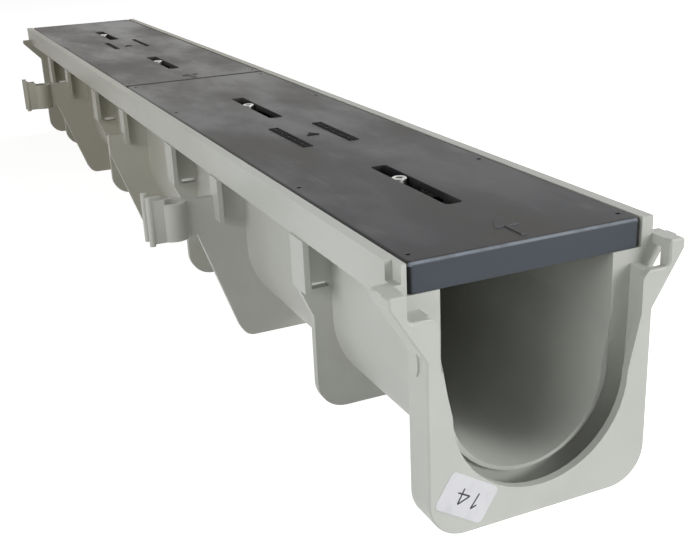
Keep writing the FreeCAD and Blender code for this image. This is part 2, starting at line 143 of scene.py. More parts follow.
def inset_outline(outline, inset):
    """Outline moved inwards by the inset: each corner moves along the sum of its
    two side normals over one plus their dot product. The outline runs
    anticlockwise."""
    ahead = np.roll(outline, -1, axis=0) - outline
    ahead /= np.linalg.norm(ahead, axis=1, keepdims=True)
    normal = np.stack([-ahead[:, 1], ahead[:, 0]], axis=1)
    before = np.roll(normal, 1, axis=0)
    scale = 1.0 + np.sum(normal * before, axis=1, keepdims=True)
    return outline + inset * (normal + before) / scale


def raised_plates(name, outlines, base, rise, bevel):
    """Raised marks on a level face. Each is an outline carried straight up and
    then inwards by the bevel to its flat top."""
    points = []
    faces = []
    for outline in outlines:
        outline = np.asarray(outline, float)
        count = len(outline)
        start = sum(len(p) for p in points)
        top = inset_outline(outline, bevel)
        rings = [(outline, base), (outline, base + rise - bevel), (top, base + rise)]
        for ring, z in rings:
            points.append(np.column_stack([ring, np.full(count, z)]))
        faces.extend((ring_faces(3, count) + start).tolist())
        faces.append(list(range(start + 2 * count, start + 3 * count)))
        faces.append(list(range(start + count - 1, start - 1, -1)))
    return mesh_object(name, np.concatenate(points), faces, math.radians(30.0))


def brush_strokes(name, paths, across, width, thickness, sides=10):
    """Pen strokes on a flat face: an ellipse of the given width and thickness
    carried along each path. The width lies in the face, square to the path, and
    narrows at both ends by the square root of the distance to the end."""
    points = []
    faces = []
    across = np.asarray(across, float)
    angle = np.linspace(0.0, TAU, sides, endpoint=False)
    for path in paths:
        path = np.asarray(path, float)
        ahead = np.gradient(path, axis=0)
        ahead /= np.linalg.norm(ahead, axis=1, keepdims=True)
        beside = np.cross(ahead, across)
        along = np.linspace(0.0, 1.0, len(path))
        taper = np.sqrt(np.clip(np.minimum(along, 1.0 - along) * 24.0, 0.0, 1.0))
        taper = taper.reshape(-1, 1, 1)
        ring = (0.5 * width * np.cos(angle)).reshape(1, -1, 1) * beside[:, None, :] * taper
        ring = ring + (0.5 * thickness * np.sin(angle)).reshape(1, -1, 1) * across * taper
        start = sum(len(p) for p in points)
        points.append((path[:, None, :] + ring).reshape(-1, 3))
        faces.extend((ring_faces(len(path), sides) + start).tolist())
    obj = mesh_object(name, np.concatenate(points), faces)
    merge_points(obj.data, TIP_POINT)
    return obj


def merge_points(mesh, distance):
    """Joins points within the distance and turns all faces outwards."""
    form = bmesh.new()
    form.from_mesh(mesh)
    bmesh.ops.remove_doubles(form, verts=form.verts, dist=distance)
    bmesh.ops.recalc_face_normals(form, faces=form.faces)
    form.to_mesh(mesh)
    form.free()


def softened_copy(node, name, edge_width):
    """Copy of a solid with its points merged, its flat triangles joined and its
    sharp edges rounded."""
    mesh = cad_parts[node].data.copy()
    mesh.name = name
    form = bmesh.new()
    form.from_mesh(mesh)
    bmesh.ops.remove_doubles(form, verts=form.verts, dist=SAME_POINT)
    bmesh.ops.dissolve_limit(form, angle_limit=FLAT_ANGLE, verts=form.verts,
                             edges=form.edges, use_dissolve_boundaries=False)
    form.to_mesh(mesh)
    form.free()
    mesh.materials.clear()
    obj = bpy.data.objects.new(name, mesh)
    bpy.context.scene.collection.objects.link(obj)
    smooth(mesh, EDGE_ANGLE)
    bevel = obj.modifiers.new("soft edges", "BEVEL")
    bevel.limit_method = "ANGLE"
    bevel.angle_limit = EDGE_ANGLE
    bevel.width = edge_width
    bevel.segments = EDGE_SEGMENTS
    bevel.use_clamp_overlap = True
    bevel.harden_normals = True
    bevel.miter_outer = "MITER_ARC"
    level = obj.modifiers.new("level faces", "WEIGHTED_NORMAL")
    level.mode = "FACE_AREA"
    level.weight = 100
    level.keep_sharp = True
    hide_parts(node)
    return obj


def finish_piece(obj, material):
    """Gives a piece of the scene its material and its body."""
    obj.data.materials.clear()
    obj.data.materials.append(material)
    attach(obj, BODY)
    return obj


def dress_node(node, material):
    """Gives a solid of the frame its material."""
    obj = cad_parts[node]
    for place in obj.material_slots:
        place.material = material


# Materials

def start_material(name):
    """Node material with a Principled shader. Returns the material, its node
    tree, the shader and the object coordinates."""
    material = bpy.data.materials.new(name)
    material.use_nodes = True
    tree = material.node_tree
    tree.nodes.clear()
    out = tree.nodes.new("ShaderNodeOutputMaterial")
    shader = tree.nodes.new("ShaderNodeBsdfPrincipled")
    tree.links.new(shader.outputs["BSDF"], out.inputs["Surface"])
    coords = tree.nodes.new("ShaderNodeTexCoord")
    return material, tree, shader, coords.outputs["Object"]


def noise(tree, place, scale, detail, roughness, stretch=None):
    """Noise value over the object, with features of about one over the scale in
    metres. The stretch scales each axis first."""
    if stretch is not None:
        mapping = tree.nodes.new("ShaderNodeMapping")
        mapping.inputs["Scale"].default_value = stretch
        tree.links.new(place, mapping.inputs["Vector"])
        place = mapping.outputs["Vector"]
    node = tree.nodes.new("ShaderNodeTexNoise")
    node.inputs["Scale"].default_value = scale
    node.inputs["Detail"].default_value = detail
    node.inputs["Roughness"].default_value = roughness
    tree.links.new(place, node.inputs["Vector"])
    return node.outputs["Fac"]


def spread(tree, value, low, high, to_low, to_high):
    """Maps a value from one range to another, clamped, with a smooth step."""
    node = tree.nodes.new("ShaderNodeMapRange")
    node.interpolation_type = "SMOOTHSTEP"
    node.inputs["From Min"].default_value = low
    node.inputs["From Max"].default_value = high
    node.inputs["To Min"].default_value = to_low
    node.inputs["To Max"].default_value = to_high
    tree.links.new(value, node.inputs["Value"])
    return node.outputs["Result"]


def blend(tree, factor, first, second):
    """Colour between two colours. Each is a socket or a constant."""
    node = tree.nodes.new("ShaderNodeMix")
    node.data_type = "RGBA"
    tree.links.new(factor, node.inputs["Factor"])
    for socket, value in ((node.inputs[6], first), (node.inputs[7], second)):
        if isinstance(value, bpy.types.NodeSocket):
            tree.links.new(value, socket)
        else:
            socket.default_value = (value[0], value[1], value[2], 1.0)
    return node.outputs[2]


def bump(tree, height, distance, strength, under=None):
    """Normal of a fine relief with the given height in metres, over another one
    where that is given."""
    node = tree.nodes.new("ShaderNodeBump")
    node.inputs["Distance"].default_value = distance
    node.inputs["Strength"].default_value = strength
    tree.links.new(height, node.inputs["Height"])
    if under is not None:
        tree.links.new(under, node.inputs["Normal"])
    return node.outputs["Normal"]


def along_channel(tree, place, far, near):
    """One beyond the far place along the channel and zero before the near one,
    from the object's X."""
    parts = tree.nodes.new("ShaderNodeSeparateXYZ")
    tree.links.new(place, parts.inputs["Vector"])
    return spread(tree, parts.outputs["X"], far, near, 1.0, 0.0)


def grey_plastic(colour, shade, far_shade):
    """Light grey moulded plastic: faint cloudy tone, long flow streaks along the
    channel, a fine mould grain and a soft satin shine. Towards the spigot end it
    turns darker and warmer, a painted shade for the light falling off along the channel."""
    material, tree, shader, place = start_material("Grey moulded plastic")
    cloud = noise(tree, place, 9.0, 3.0, 0.5)
    flow = noise(tree, place, 14.0, 4.0, 0.55, (0.25, 1.6, 1.6))
    speck = noise(tree, place, 900.0, 2.0, 0.6)
    tone = blend(tree, spread(tree, cloud, 0.35, 0.68, 0.0, 1.0), colour, shade)
    paler = tuple(min(1.0, c * 1.05) for c in colour)
    tone = blend(tree, spread(tree, flow, 0.52, 0.70, 0.0, 0.55), tone, paler)
    darker = tuple(c * 0.86 for c in shade)
    tone = blend(tree, spread(tree, speck, 0.66, 0.78, 0.0, 0.5), tone, darker)
    # Painted shade: darker and warmer towards the spigot end, standing in for the light that
    # falls off along the channel.
    tone = blend(tree, along_channel(tree, place, -0.30, 0.42), tone, far_shade)
    tree.links.new(tone, shader.inputs["Base Color"])
    tree.links.new(spread(tree, flow, 0.3, 0.7, 0.40, 0.52), shader.inputs["Roughness"])
    shader.inputs["IOR"].default_value = 1.49
    shader.inputs["Subsurface Weight"].default_value = 0.0
    grain = noise(tree, place, 1500.0, 2.0, 0.5)
    waves = noise(tree, place, 45.0, 2.0, 0.4, (0.35, 1.0, 1.0))
    normal = bump(tree, waves, 0.0004, 0.25)
    tree.links.new(bump(tree, grain, 0.00003, 0.5, normal), shader.inputs["Normal"])
    return material


def end_facing(tree, place):
    """How far a face at the socket end turns towards it and upwards: the X and
    Z parts of its normal. The first is zero further back along the channel."""
    geometry = tree.nodes.new("ShaderNodeNewGeometry")
    parts = tree.nodes.new("ShaderNodeSeparateXYZ")
    tree.links.new(geometry.outputs["Normal"], parts.inputs["Vector"])
    back = along_channel(tree, place, 0.42, 0.47)
    near = spread(tree, back, 0.0, 1.0, 1.0, 0.0)
    return product(tree, parts.outputs["X"], near), parts.outputs["Z"]


def product(tree, first, second):
    """One value times another."""
    node = tree.nodes.new("ShaderNodeMath")
    node.operation = "MULTIPLY"
    tree.links.new(first, node.inputs[0])
    tree.links.new(second, node.inputs[1])
    return node.outputs[0]


def black_plastic(colour, dust_and_sheen, end_reflection, edge_highlight):
    """Near black moulded plastic of the covers: grained satin surface with pale
    dust in patches, rubbed patches and fine scratches that run mostly along it.
    Towards the far end it is paler, a painted sheen for the brighter reflection
    there. The end face in the socket has a painted bluish reflection, and its
    rounded upper edge a painted highlight."""
    material, tree, shader, place = start_material("Black cover plastic")
    patch = noise(tree, place, 11.0, 5.0, 0.6, (0.6, 1.3, 1.3))
    rub = noise(tree, place, 60.0, 5.0, 0.65, (0.35, 1.0, 1.0))
    scratch = noise(tree, place, 700.0, 2.0, 0.5, (0.03, 1.0, 1.0))
    scuff = noise(tree, place, 420.0, 3.0, 0.7, (0.5, 1.0, 1.0))
    # Painted sheen: paler towards the far end, standing in for the brighter reflection there. The
    # dust that follows comes in patches.
    tone = blend(tree, along_channel(tree, place, -0.15, 0.48), colour, dust_and_sheen)
    tone = blend(tree, spread(tree, patch, 0.44, 0.62, 0.0, 0.55), tone, dust_and_sheen)
    tone = blend(tree, spread(tree, rub, 0.56, 0.74, 0.0, 0.45), tone, dust_and_sheen)
    pale = tuple(min(1.0, c * 2.2) for c in dust_and_sheen)
    tone = blend(tree, spread(tree, scratch, 0.70, 0.80, 0.0, 0.30), tone, pale)
    tone = blend(tree, spread(tree, scuff, 0.74, 0.82, 0.0, 0.35), tone, pale)
    facing, upward = end_facing(tree, place)
    # Painted reflection: faces at the socket end that turn along the channel are painted a paler
    # bluish tone.
    tone = blend(tree, spread(tree, facing, 0.85, 0.99, 0.0, 0.9), tone, end_reflection)
    # Painted highlight: a pale band along the rounded upper edge of the end face, broken up by
    # the rub noise.
    edge = product(tree, spread(tree, facing, 0.35, 0.60, 0.0, 1.0),
                   spread(tree, facing, 0.88, 0.99, 1.0, 0.0))
    edge = product(tree, edge, spread(tree, upward, 0.02, 0.25, 0.0, 1.0))
    tone = blend(tree, product(tree, edge, spread(tree, rub, 0.25, 0.6, 0.5, 1.0)), tone, edge_highlight)
    tree.links.new(tone, shader.inputs["Base Color"])
    tree.links.new(spread(tree, patch, 0.36, 0.64, 0.30, 0.50), shader.inputs["Roughness"])
    shader.inputs["IOR"].default_value = 1.5
    shader.inputs["Specular IOR Level"].default_value = 0.11
    grain = noise(tree, place, 2200.0, 2.0, 0.5)
    waves = noise(tree, place, 35.0, 2.0, 0.5)
    normal = bump(tree, waves, 0.0003, 0.2)
    tree.links.new(bump(tree, grain, 0.00004, 0.6, normal), shader.inputs["Normal"])
    return material


def clean_plastic(colour):
    """Black plastic of the raised marks, free of dust, with a dull fine grain."""
    material, tree, shader, place = start_material("Clean black plastic")
    patch = noise(tree, place, 260.0, 3.0, 0.6)
    paler = tuple(c * 2.4 for c in colour)
    tree.links.new(blend(tree, spread(tree, patch, 0.45, 0.75, 0.0, 0.8), colour, paler),
                   shader.inputs["Base Color"])
    tree.links.new(spread(tree, patch, 0.3, 0.7, 0.55, 0.7), shader.inputs["Roughness"])
    shader.inputs["Specular IOR Level"].default_value = 0.06
    grain = noise(tree, place, 2200.0, 2.0, 0.5)
    tree.links.new(bump(tree, grain, 0.00004, 0.6), shader.inputs["Normal"])
    return material


def zinc_steel(name, colour, low, high):
    """Zinc plated steel: bright metal with cloudy crystals and a little grime."""
    material, tree, shader, place = start_material(name)
    cloud = noise(tree, place, 420.0, 4.0, 0.6)
    grime = noise(tree, place, 130.0, 3.0, 0.6)
    dull = tuple(c * 0.62 for c in colour)
    tone = blend(tree, spread(tree, cloud, 0.35, 0.7, 0.0, 0.6), colour, dull)
    tone = blend(tree, spread(tree, grime, 0.58, 0.75, 0.0, 0.5), tone, (0.16, 0.13, 0.10))
    tree.links.new(tone, shader.inputs["Base Color"])
    tree.links.new(spread(tree, cloud, 0.3, 0.7, low, high), shader.inputs["Roughness"])
    shader.inputs["Metallic"].default_value = 1.0
    fine = noise(tree, place, 2600.0, 2.0, 0.6)
    tree.links.new(bump(tree, fine, 0.00002, 0.5), shader.inputs["Normal"])
    return material


def white_paper(colour):
    """Coated label paper with faint fibres and handling marks."""
    material, tree, shader, place = start_material("White label paper")
    fibre = noise(tree, place, 900.0, 4.0, 0.7, (1.0, 0.4, 1.0))
    smudge = noise(tree, place, 120.0, 3.0, 0.6)
    grey = tuple(c * 0.9 for c in colour)
    tone = blend(tree, spread(tree, smudge, 0.45, 0.75, 0.0, 0.7), colour, grey)
    tree.links.new(tone, shader.inputs["Base Color"])
    tree.links.new(spread(tree, fibre, 0.3, 0.7, 0.55, 0.7), shader.inputs["Roughness"])
    tree.links.new(bump(tree, fibre, 0.00002, 0.4), shader.inputs["Normal"])
    return material


def pen_ink(colour):
    """Dry marker ink that lets a little of the paper's grain through."""
    material, tree, shader, place = start_material("Marker ink")
    patchy = noise(tree, place, 1600.0, 3.0, 0.6)
    grey = tuple(min(1.0, c + 0.06) for c in colour)
    tree.links.new(blend(tree, spread(tree, patchy, 0.5, 0.75, 0.0, 0.7), colour, grey),
                   shader.inputs["Base Color"])
    shader.inputs["Roughness"].default_value = 0.6
    return material


def seen_rays(tree):
    """One for rays that show the background: camera, glossy or transmission."""
    path = tree.nodes.new("ShaderNodeLightPath")
    seen = path.outputs["Is Camera Ray"]
    for other in ("Is Glossy Ray", "Is Transmission Ray"):
        larger = tree.nodes.new("ShaderNodeMath")
        larger.operation = "MAXIMUM"
        tree.links.new(seen, larger.inputs[0])
        tree.links.new(path.outputs[other], larger.inputs[1])
        seen = larger.outputs[0]
    return seen


def pale_floor(colour, glow_strength):
    """Matt studio floor. Where the camera, a mirror or clear glass shows it, it
    also glows a little, so it looks white and keeps the object's shadow."""
    material, tree, shader, place = start_material("Pale studio floor")
    shader.inputs["Base Color"].default_value = (colour[0], colour[1], colour[2], 1.0)
    shader.inputs["Roughness"].default_value = 0.9
    shader.inputs["Specular IOR Level"].default_value = 0.0
    glow = tree.nodes.new("ShaderNodeEmission")
    glow.inputs["Color"].default_value = (1.0, 1.0, 1.0, 1.0)
    share = tree.nodes.new("ShaderNodeMath")
    share.operation = "MULTIPLY"
    share.inputs[1].default_value = glow_strength
    tree.links.new(seen_rays(tree), share.inputs[0])
    tree.links.new(share.outputs[0], glow.inputs["Strength"])
    both = tree.nodes.new("ShaderNodeAddShader")
    tree.links.new(shader.outputs["BSDF"], both.inputs[0])
    tree.links.new(glow.outputs["Emission"], both.inputs[1])
    out = next(n for n in tree.nodes if n.type == "OUTPUT_MATERIAL")
    tree.links.new(both.outputs["Shader"], out.inputs["Surface"])
    return material


def material_once(name, maker, *values):
    """The material of that name, made by the maker where it isn't there yet."""
    found = bpy.data.materials.get(name)
    return found if found is not None else maker(*values)


def cover_plastic(settings):
    """The covers' black plastic, in the colours of the settings."""
    return material_once("Black cover plastic", black_plastic, settings.colour[:],
                         settings.dust_and_sheen[:], settings.end_reflection[:], settings.edge_highlight[:])


# Shapes of the small details

def screw_surface(node, settings):
    """Socket screw in place of its plain solid, as one closed surface about its
    axis. From the centre of the socket's floor it runs out and up the hexagon,
    over the bevelled rim, down the knurled head, in under it and down the
    thread. The knurl adds a rectified sine of the angle, and the thread a
    triangle wave of height over pitch less angle over a turn."""
    low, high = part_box(node)
    centre = np.array([(low.x + high.x) / 2.0, (low.y + high.y) / 2.0, 0.0])
    around = 72
    steps_per_turn = 6.0
    chamfer = 0.0003
    angle = np.linspace(0.0, TAU, around, endpoint=False)
    head = settings.head_diameter / 2.0
    seat = high.z - settings.head_height
    bevel = settings.head_bevel
    floor = high.z - settings.socket_depth
    hexagonal = hexagon(settings.socket_flats, angle)
    knurl = settings.knurl_depth * np.abs(np.sin(angle * settings.knurl_count / 2.0))
    flat = np.ones(around)
    rings = [
        (0.0 * flat, floor - 2.0 * chamfer),
        (hexagonal * 0.9, floor),
        (hexagonal, floor),
        (hexagonal, high.z - chamfer),
        (hexagonal + chamfer, high.z),
        ((head - bevel) * flat, high.z),
        (head * flat - settings.knurl_depth, high.z - bevel * 0.6),
        (head * flat - knurl, high.z - bevel),
        (head * flat - knurl, seat + 0.0005),
        (head * flat - settings.knurl_depth, seat),
    ]
    thread_top = seat - 0.0002
    thread_end = low.z + 0.0008
    crest = settings.shank_diameter / 2.0
    root = crest - settings.thread_depth
    rings.append((crest * flat, seat))
    steps = int(round((thread_top - thread_end) / settings.thread_pitch * steps_per_turn))
    for height in np.linspace(thread_top, thread_end, steps):
        phase = np.mod(height / settings.thread_pitch - angle / TAU, 1.0)
        wave = 1.0 - np.abs(2.0 * phase - 1.0)
        rings.append((root + settings.thread_depth * wave, height))
    rings.append((root * flat, low.z + chamfer))
    rings.append(((root - chamfer) * flat, low.z))
    rings.append((0.0 * flat, low.z))
    radii = np.array([radius for radius, _ in rings])
    heights = np.array([height for _, height in rings])
    points = stacked_rings(radii, heights, centre)
    name = node.replace("lock_screw", "socket_screw")
    obj = mesh_object(name, points, ring_faces(len(rings), around).tolist(), math.radians(35.0))
    merge_points(obj.data, TIP_POINT)
    smooth(obj.data, math.radians(35.0))
    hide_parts(node)
    return obj


def box_outline(x0, x1, y0, y1):
    """Corners of a rectangle, anticlockwise."""
    return [(x0, y0), (x1, y0), (x1, y1), (x0, y1)]


def stud_row(x0, x1, y0, y1, pitch):
    """Row of grip studs that fills a rectangle: bars across it, a pitch apart,
    and every third one is in two halves."""
    count = int(round((x1 - x0) / pitch))
    step = (x1 - x0) / count
    stud = 0.62 * step
    middle = (y0 + y1) / 2.0
    gap = 0.1 * (y1 - y0)
    outlines = []
    for i, start in enumerate((x0 + step * np.arange(count)).tolist()):
        end = start + stud
        if i % 3 == 1:
            outlines.append(box_outline(start, end, y0, middle - gap))
            outlines.append(box_outline(start, end, middle + gap, y1))
        else:
            outlines.append(box_outline(start, end, y0, y1))
    return outlines


def stroke_path(corners, steps):
    """Points evenly spaced along straight runs between the corners."""
    corners = np.asarray(corners, float)
    length = np.concatenate([[0.0], np.cumsum(np.linalg.norm(np.diff(corners, axis=0), axis=1))])
    along = np.linspace(0.0, length[-1], steps)
    return np.stack([np.interp(along, length, corners[:, i]) for i in range(corners.shape[1])],
                    axis=1)


# Settings

class ChannelSettings(bpy.types.PropertyGroup):
    """Finish of the grey channel"""
    colour: bpy.props.FloatVectorProperty(
        name="Colour", description="Light grey of the channel", size=3, subtype="COLOR",
        min=0.0, max=1.0, default=(0.60, 0.615, 0.575))
    shade: bpy.props.FloatVectorProperty(
        name="Shade", description="Darker cloudy tone of the channel", size=3, subtype="COLOR",
        min=0.0, max=1.0, default=(0.53, 0.54, 0.50))
    # Painted shade: the darker, warmer tone the channel is given towards the spigot end, where
    # less light falls.
    far_shade: bpy.props.FloatVectorProperty(
        name="Aged", description="Warmer tone towards the spigot end", size=3, subtype="COLOR",
        min=0.0, max=1.0, default=(0.51, 0.495, 0.41))
    edge_width: bpy.props.FloatProperty(
        name="Edge rounding", description="Width of the rounded edges", unit="LENGTH",
        min=0.0, default=0.0004)


class CoverSettings(bpy.types.PropertyGroup):
    """Finish of the dark covers and their raised marks"""
    colour: bpy.props.FloatVectorProperty(
        name="Colour", description="Near black of the covers", size=3, subtype="COLOR",
        min=0.0, max=1.0, default=(0.019, 0.020, 0.024))
    # Tone of the dust in patches, and of the painted sheen that grows towards the far end
    dust_and_sheen: bpy.props.FloatVectorProperty(
        name="Dust", description="Tone of dust and rubbed patches", size=3, subtype="COLOR",
        min=0.0, max=1.0, default=(0.088, 0.083, 0.076))
    # Painted reflection: bluish tone painted on the end face in the socket
    end_reflection: bpy.props.FloatVectorProperty(
        name="Rubbed ends", description="Tone of the rubbed end faces", size=3, subtype="COLOR",
        min=0.0, max=1.0, default=(0.078, 0.092, 0.108))
    # Painted highlight: tone of the band painted on the rounded upper edge of the end face
    edge_highlight: bpy.props.FloatVectorProperty(
        name="Worn edges", description="Tone of the worn end edges", size=3, subtype="COLOR",
        min=0.0, max=1.0, default=(0.26, 0.29, 0.33))
    edge_width: bpy.props.FloatProperty(
        name="Edge rounding", description="Width of the rounded edges", unit="LENGTH",
        min=0.0, default=0.0003)
    mark_rise: bpy.props.FloatProperty(
        name="Mark height", description="Height of the raised marks over the cover",
        unit="LENGTH", min=0.0, default=0.00045)
    stud_pitch: bpy.props.FloatProperty(
        name="Stud pitch", description="Distance between two grip studs", unit="LENGTH",
        min=0.001, default=0.0038)
    arrow_rise: bpy.props.FloatProperty(
        name="Arrow height", description="Height of the solid's flow arrow over the cover",
        unit="LENGTH", min=0.0, default=0.0005)
    marked: bpy.props.FloatVectorProperty(
        name="Marks", description="Clean black of the raised marks", size=3, subtype="COLOR",
        min=0.0, max=1.0, default=(0.008, 0.008, 0.009))


class ScrewSettings(bpy.types.PropertyGroup):
    """Sizes of the socket screws"""
    head_diameter: bpy.props.FloatProperty(
        name="Head diameter", description="Diameter of the screw head", unit="LENGTH",
        min=0.001, default=0.0086)
    head_height: bpy.props.FloatProperty(
        name="Head height", description="Height of the screw head", unit="LENGTH",
        min=0.001, default=0.005)
    head_bevel: bpy.props.FloatProperty(
        name="Head bevel", description="Bevel round the top of the head", unit="LENGTH",
        min=0.0, default=0.0006)
    socket_flats: bpy.props.FloatProperty(
        name="Socket size", description="Distance across the flats of the socket",
        unit="LENGTH", min=0.001, default=0.004)
    socket_depth: bpy.props.FloatProperty(
        name="Socket depth", description="Depth of the socket", unit="LENGTH",
        min=0.0, default=0.0026)
    knurl_count: bpy.props.IntProperty(
        name="Knurls", description="Number of knurls round the head", min=8, default=24)
    knurl_depth: bpy.props.FloatProperty(
        name="Knurl depth", description="Depth of the knurls", unit="LENGTH",
        min=0.0, default=0.00012)
    shank_diameter: bpy.props.FloatProperty(
        name="Shank diameter", description="Diameter over the thread", unit="LENGTH",
        min=0.001, default=0.005)
    thread_pitch: bpy.props.FloatProperty(
        name="Thread pitch", description="Distance between two threads", unit="LENGTH",
        min=0.0002, default=0.0008)
    thread_depth: bpy.props.FloatProperty(
        name="Thread depth", description="Depth of the thread", unit="LENGTH",
        min=0.0, default=0.00035)
    colour: bpy.props.FloatVectorProperty(
        name="Colour", description="Tone of the plated steel", size=3, subtype="COLOR",
        min=0.0, max=1.0, default=(0.54, 0.54, 0.52))


class LabelSettings(bpy.types.PropertyGroup):
    """Paper label and the pen strokes on it"""
    colour: bpy.props.FloatVectorProperty(
        name="Paper", description="White of the label", size=3, subtype="COLOR",
        min=0.0, max=1.0, default=(0.80, 0.80, 0.83))
    ink: bpy.props.FloatVectorProperty(
        name="Ink", description="Colour of the pen", size=3, subtype="COLOR",
        min=0.0, max=1.0, default=(0.02, 0.02, 0.025))
    turn: bpy.props.FloatProperty(
        name="Turn", description="Turn of the label on the face", subtype="ANGLE",
        unit="ROTATION", default=math.radians(147.8))
    stroke_width: bpy.props.FloatProperty(
        name="Stroke width", description="Width of a pen stroke", unit="LENGTH",
        min=0.0, default=0.0008)


class StageSettings(bpy.types.PropertyGroup):
    """Camera, floor and lights"""
    camera_place: bpy.props.FloatVectorProperty(
        name="Camera place", description="Where the camera stands", size=3,
        subtype="TRANSLATION", unit="LENGTH", default=(0.856892, -0.241069, 0.272198))
    camera_azimuth: bpy.props.FloatProperty(
        name="Azimuth", description="Camera's turn about the upright axis", subtype="ANGLE",
        unit="ROTATION", default=math.radians(66.40714272))
    camera_elevation: bpy.props.FloatProperty(
        name="Elevation", description="Camera's tilt above the level", subtype="ANGLE",
        unit="ROTATION", default=math.radians(20.42348244))
    camera_roll: bpy.props.FloatProperty(
        name="Roll", description="Camera's turn about its own axis", subtype="ANGLE",
        unit="ROTATION", default=math.radians(-2.57475999))
    lens: bpy.props.FloatProperty(
        name="Lens", description="Focal length in millimetres", subtype="NONE",
        min=1.0, default=53.623)
    floor_colour: bpy.props.FloatVectorProperty(
        name="Floor", description="Colour of the floor", size=3, subtype="COLOR",
        min=0.0, max=1.0, default=(0.86, 0.86, 0.86))
    floor_size: bpy.props.FloatProperty(
        name="Floor size", description="Side of the square floor", unit="LENGTH",
        min=1.0, default=24.0)
    floor_glow: bpy.props.FloatProperty(
        name="Floor glow", description="Glow of the floor where it is seen",
        min=0.0, max=1.0, default=0.82)
    world_light: bpy.props.FloatProperty(
        name="World light", description="Strength of the even light all round",
        min=0.0, default=0.12)
    end_power: bpy.props.FloatProperty(
        name="End light", description="Power of the light on the socket end",
        subtype="POWER", unit="POWER", min=0.0, default=17.0)
    high_power: bpy.props.FloatProperty(
        name="High light", description="Power of the light high on the right",
        subtype="POWER", unit="POWER", min=0.0, default=9.0)
    side_power: bpy.props.FloatProperty(
        name="Side light", description="Power of the soft light on the left",
        subtype="POWER", unit="POWER", min=0.0, default=3.7)
    right_power: bpy.props.FloatProperty(
        name="Right light", description="Power of the long light on the right",
        subtype="POWER", unit="POWER", min=0.0, default=4.0)
    back_power: bpy.props.FloatProperty(
        name="Back light", description="Power of the light high at the back",
        subtype="POWER", unit="POWER", min=0.0, default=3.0)


# Pieces

class DRAIN_OT_channel(bpy.types.Operator):
    """Softens the edges of the grey channel and gives it its moulded plastic"""
    bl_idname = "drain.channel"
    bl_label = "Channel"

    def execute(self, context):
        settings = context.scene.drain_channel
        plastic = material_once("Grey moulded plastic", grey_plastic, settings.colour[:],
                                settings.shade[:], settings.far_shade[:])
        body = softened_copy("channel_body", "channel_moulding", settings.edge_width)
        finish_piece(body, plastic)
        dress_node("channel_body", plastic)
        return {"FINISHED"}


class DRAIN_OT_covers(bpy.types.Operator):
    """Softens the edges of both covers and gives them their black plastic"""
    bl_idname = "drain.covers"
    bl_label = "Covers"

    def execute(self, context):
        settings = context.scene.drain_cover
        plastic = cover_plastic(settings)
        for node in COVERS:
            cover = softened_copy(node, node.replace("cover", "slotted_cover"),
                                  settings.edge_width)
            finish_piece(cover, plastic)
            dress_node(node, plastic)
        return {"FINISHED"}


class DRAIN_OT_cover_marks(bpy.types.Operator):
    """Raises the small triangles and the fields of grip studs on the covers"""
    bl_idname = "drain.cover_marks"
    bl_label = "Cover marks"

    def execute(self, context):
        settings = context.scene.drain_cover
        plastic = material_once("Clean black plastic", clean_plastic, settings.marked[:])
        for node in COVERS:
            low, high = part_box(node)
            middle = (low.x + high.x) / 2.0 + 0.004
            outlines = [[(middle - 0.0045, 0.0), (middle + 0.003, -0.0042),
                         (middle + 0.003, 0.0042)]]
            for x0, x1, y0, y1 in STUD_FIELDS[node]:
                outlines.extend(stud_row(x0, x1, y0, y1, settings.stud_pitch))
            face = high.z - settings.arrow_rise
            marks = raised_plates(node.replace("cover", "raised_marks"), outlines,
                                  face - MARK_SINK, settings.mark_rise + MARK_SINK,
                                  MARK_BEVEL)
            finish_piece(marks, plastic)
        return {"FINISHED"}


class DRAIN_OT_screws(bpy.types.Operator):
    """Turns the four socket screws with knurled heads and threads"""
    bl_idname = "drain.screws"
    bl_label = "Screws"

    def execute(self, context):
        settings = context.scene.drain_screw
        steel = material_once("Bright zinc plate", zinc_steel, "Bright zinc plate",
                              settings.colour[:], 0.24, 0.40)
        for node in SCREWS:
            finish_piece(screw_surface(node, settings), steel)
            dress_node(node, steel)
        return {"FINISHED"}


class DRAIN_OT_lock_hardware(bpy.types.Operator):
    """Gives the cross bars and nuts their dull zinc plate"""
    bl_idname = "drain.lock_hardware"
    bl_label = "Bars and nuts"

    def execute(self, context):
        steel = material_once("Dull zinc plate", zinc_steel, "Dull zinc plate",
                              (0.55, 0.55, 0.54), 0.38, 0.55)
        for node in BARS + NUTS:
            dress_node(node, steel)
        return {"FINISHED"}


class DRAIN_OT_label(bpy.types.Operator):
    """Gives the paper label its finish and a plain number in pen"""
    bl_idname = "drain.label"
    bl_label = "Label"

    def execute(self, context):
        settings = context.scene.drain_label
        paper = material_once("White label paper", white_paper, settings.colour[:])
        dress_node("paper_label", paper)
        low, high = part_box("paper_label")
        centre = (low + high) / 2.0
        turn = settings.turn
        along = np.array([0.0, math.cos(turn), math.sin(turn)])
        upward = np.array([0.0, -math.sin(turn), math.cos(turn)])
        origin = np.array([high.x, centre.y, centre.z])
        one = [(-0.0068, 0.0016), (-0.0046, 0.0042), (-0.0052, -0.0040)]
        four = [(0.0036, -0.0042), (0.0032, 0.0042), (-0.0010, -0.0012), (0.0062, -0.0010)]
        paths = []
        for corners in (one, four):
            flat = stroke_path(corners, 48)
            paths.append(origin + flat[:, :1] * along + flat[:, 1:] * upward)
        ink = material_once("Marker ink", pen_ink, settings.ink[:])
        strokes = brush_strokes("label_pen_strokes", paths, (1.0, 0.0, 0.0),
                                settings.stroke_width, INK_THICKNESS)
        finish_piece(strokes, ink)
        return {"FINISHED"}


